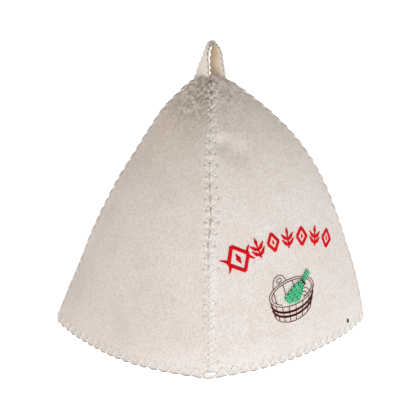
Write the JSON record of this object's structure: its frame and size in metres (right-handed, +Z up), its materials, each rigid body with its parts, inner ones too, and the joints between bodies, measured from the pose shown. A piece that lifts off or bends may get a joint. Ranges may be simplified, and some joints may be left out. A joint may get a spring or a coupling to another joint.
{
  "type": "sauna hat",
  "caption": "Pointed felt sauna hat sewn from gores edge to edge, with a hanging loop at the crown and an embroidered front.",
  "frame": {"origin": "centre of the rim's footprint, on the surface that the hat rests on", "axes": "+Z up from the rim to the crown and its loop; -Y out of the embroidered gore; +X to the wearer's left; the seams run down the diagonals between the axes"},
  "size_m": [0.2037, 0.1956, 0.2224],
  "materials": {
    "gore_felt": "pressed wool felt, undyed cream, matte and slightly hairy",
    "loop_felt": "strip of the same felt, matte, a little darker on its inner face",
    "seam_thread": "spun sewing thread, off white, soft sheen",
    "red_thread": "embroidery thread, bright red, silky",
    "green_thread": "embroidery thread, leaf green, silky",
    "brown_thread": "embroidery thread, dark brown, silky"
  },
  "bodies": {
    "root": {"gore_front": "gore_felt", "gore_right": "gore_felt", "gore_back": "gore_felt", "gore_left": "gore_felt", "hanging_loop": "loop_felt"}
  },
  "joints": []
}
